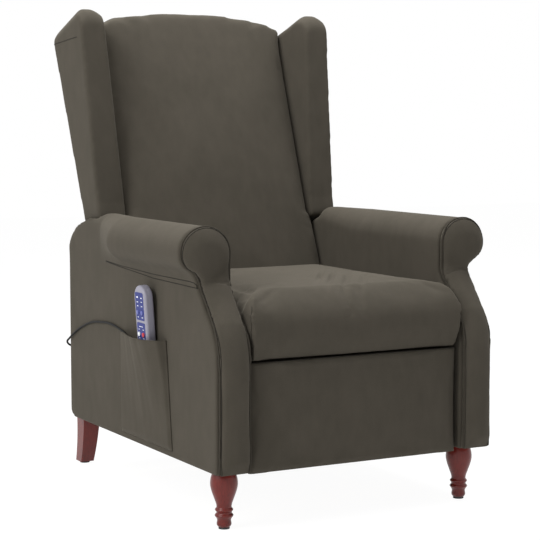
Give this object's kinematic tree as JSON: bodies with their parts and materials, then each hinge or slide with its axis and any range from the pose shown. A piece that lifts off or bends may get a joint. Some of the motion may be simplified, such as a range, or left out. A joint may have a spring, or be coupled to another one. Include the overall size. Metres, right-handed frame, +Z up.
{
  "type": "massage armchair",
  "caption": "Wingback massage recliner with rolled arms, turned legs, a wired handset in a side pocket, and a push-back that slides the seat and raises the footrest",
  "frame": {"origin": "on the floor, under the middle of the chair's box", "axes": "+Z up, -Y is the way the sitter faces, +X is the sitter's left"},
  "size_m": [0.7002, 0.8482, 1.0296],
  "materials": {
    "microfibre": "brushed microfibre suede",
    "webbing": "woven elastic webbing",
    "frame_wood": "sawn plywood and pine",
    "mahogany": "gloss lacquer on turned wood",
    "black_steel": "black powder coat",
    "zinc_steel": "zinc plated",
    "black_plastic": "moulded black nylon",
    "heat_felt": "needle felt",
    "rotor_steel": "sintered steel weight",
    "handset_plastic": "fine moulded ABS",
    "overlay_blue": "printed film",
    "circuit_green": "solder mask",
    "key_red": "moulded gloss",
    "key_white": "moulded gloss"
  },
  "bodies": {
    "base": {"arm_frame_l": "frame_wood", "arm_frame_r": "frame_wood", "arm_pad_l": "microfibre", "arm_pad_r": "microfibre", "arm_front_l": "microfibre", "arm_front_r": "microfibre", "front_stretcher": "frame_wood", "rear_stretcher": "frame_wood", "slide_tracks": "black_steel", "front_legs": "mahogany", "rear_legs": "mahogany", "leg_bolts": "zinc_steel", "leg_glides": "black_plastic", "rear_panel": "microfibre", "power_inlet": "black_plastic", "control_box": "black_plastic", "side_pocket": "microfibre", "handset_lead": "black_plastic", "lead_gland": "black_plastic"},
    "seat": {"seat_frame": "frame_wood", "seat_webbing": "webbing", "seat_cushion": "microfibre", "seat_runners": "black_plastic", "seat_plate_l": "black_steel", "seat_plate_r": "black_steel", "seat_pivots": "zinc_steel", "seat_motor_cups": "black_plastic"},
    "back": {"back_cushion": "microfibre", "back_frame": "frame_wood", "back_webbing": "webbing", "heat_pad": "heat_felt", "outside_back": "microfibre", "wing_l": "microfibre", "wing_r": "microfibre", "wing_boards": "frame_wood", "hinge_brackets": "black_steel", "back_motor_cups": "black_plastic"},
    "link_a": {"footrest_link_a": "black_steel", "rivets_a": "zinc_steel"},
    "link_b": {"footrest_link_b": "black_steel", "rivets_b": "zinc_steel"},
    "footrest": {"footrest_link_c": "black_steel", "rivets_c": "zinc_steel", "footrest_board": "frame_wood", "footrest_pad": "microfibre"},
    "link_d": {"footrest_link_d": "black_steel"},
    "handset": {"handset_front": "handset_plastic", "handset_rear": "handset_plastic", "handset_overlay": "overlay_blue", "handset_circuit": "circuit_green"},
    "seat_rotor_l": {"seat_rotor_l": "rotor_steel"},
    "seat_rotor_r": {"seat_rotor_r": "rotor_steel"},
    "back_rotor_low_l": {"back_rotor_low_l": "rotor_steel"},
    "back_rotor_low_r": {"back_rotor_low_r": "rotor_steel"},
    "back_rotor_high_l": {"back_rotor_high_l": "rotor_steel"},
    "back_rotor_high_r": {"back_rotor_high_r": "rotor_steel"},
    "key_power": {"key_power": "key_red"},
    "key_heat": {"key_heat": "key_white"},
    "key_mode": {"key_mode": "key_white"},
    "key_timer": {"key_timer": "key_white"}
  },
  "joints": [
    {"name": "back_recline", "type": "hinge", "parent": "seat", "child": "back", "pos_m": [0, 0.2089, 0.312], "axis": [-1, 0, 0], "range_deg": [0, 28]},
    {"name": "seat_slide", "type": "slide", "parent": "base", "child": "seat", "axis": [0, -0.9063, 0.4226], "range_m": [0, 0.036]},
    {"name": "link_a_swing", "type": "hinge", "parent": "seat", "child": "link_a", "pos_m": [0, -0.3141, 0.297], "axis": [-1, 0, 0], "range_deg": [0, 77]},
    {"name": "link_b_cross", "type": "hinge", "parent": "link_a", "child": "link_b", "pos_m": [0, -0.32372, 0.21255], "axis": [-1, 0, 0], "range_deg": [-154, 0]},
    {"name": "footrest_swing", "type": "hinge", "parent": "link_b", "child": "footrest", "pos_m": [0, -0.33334, 0.297], "axis": [-1, 0, 0], "range_deg": [0, 154]},
    {"name": "link_d_swing", "type": "hinge", "parent": "link_a", "child": "link_d", "pos_m": [0, -0.33334, 0.12809], "axis": [-1, 0, 0], "range_deg": [-154, 0]},
    {"name": "handset_lift", "type": "slide", "parent": "base", "child": "handset", "axis": [-0.2924, 0, 0.9563], "range_m": [0, 0.04]},
    {"name": "key_power_press", "type": "slide", "parent": "handset", "child": "key_power", "axis": [0.9976, 0, 0.0698], "range_m": [0, 0.0009], "stiffness_N_per_m": 250},
    {"name": "key_heat_press", "type": "slide", "parent": "handset", "child": "key_heat", "axis": [0.9976, 0, 0.0698], "range_m": [0, 0.0009], "stiffness_N_per_m": 250},
    {"name": "key_mode_press", "type": "slide", "parent": "handset", "child": "key_mode", "axis": [0.9976, 0, 0.0698], "range_m": [0, 0.0009], "stiffness_N_per_m": 250},
    {"name": "key_timer_press", "type": "slide", "parent": "handset", "child": "key_timer", "axis": [0.9976, 0, 0.0698], "range_m": [0, 0.0009], "stiffness_N_per_m": 250},
    {"name": "seat_motor_spin_r", "type": "hinge", "parent": "seat", "child": "seat_rotor_r", "pos_m": [-0.095, -0.1461, 0.339], "axis": [0, 0, 1], "continuous": true},
    {"name": "back_motor_spin_low_r", "type": "hinge", "parent": "back", "child": "back_rotor_low_r", "pos_m": [-0.105, 0.18351, 0.50393], "axis": [0, 0.9426, -0.3338], "continuous": true},
    {"name": "back_motor_spin_high_r", "type": "hinge", "parent": "back", "child": "back_rotor_high_r", "pos_m": [-0.105, 0.30869, 0.85742], "axis": [0, 0.9426, -0.3338], "continuous": true},
    {"name": "seat_motor_spin_l", "type": "hinge", "parent": "seat", "child": "seat_rotor_l", "pos_m": [0.095, -0.1461, 0.339], "axis": [0, 0, 1], "continuous": true},
    {"name": "back_motor_spin_low_l", "type": "hinge", "parent": "back", "child": "back_rotor_low_l", "pos_m": [0.105, 0.18351, 0.50393], "axis": [0, 0.9426, -0.3338], "continuous": true},
    {"name": "back_motor_spin_high_l", "type": "hinge", "parent": "back", "child": "back_rotor_high_l", "pos_m": [0.105, 0.30869, 0.85742], "axis": [0, 0.9426, -0.3338], "continuous": true}
  ],
  "couplings": [
    {"joint": "seat_slide", "follows": "back_recline", "m_per_rad": 0.07366},
    {"joint": "link_a_swing", "follows": "back_recline", "ratio": 2.75},
    {"joint": "link_b_cross", "follows": "back_recline", "ratio": -5.5},
    {"joint": "footrest_swing", "follows": "back_recline", "ratio": 5.5},
    {"joint": "link_d_swing", "follows": "back_recline", "ratio": -5.5}
  ]
}
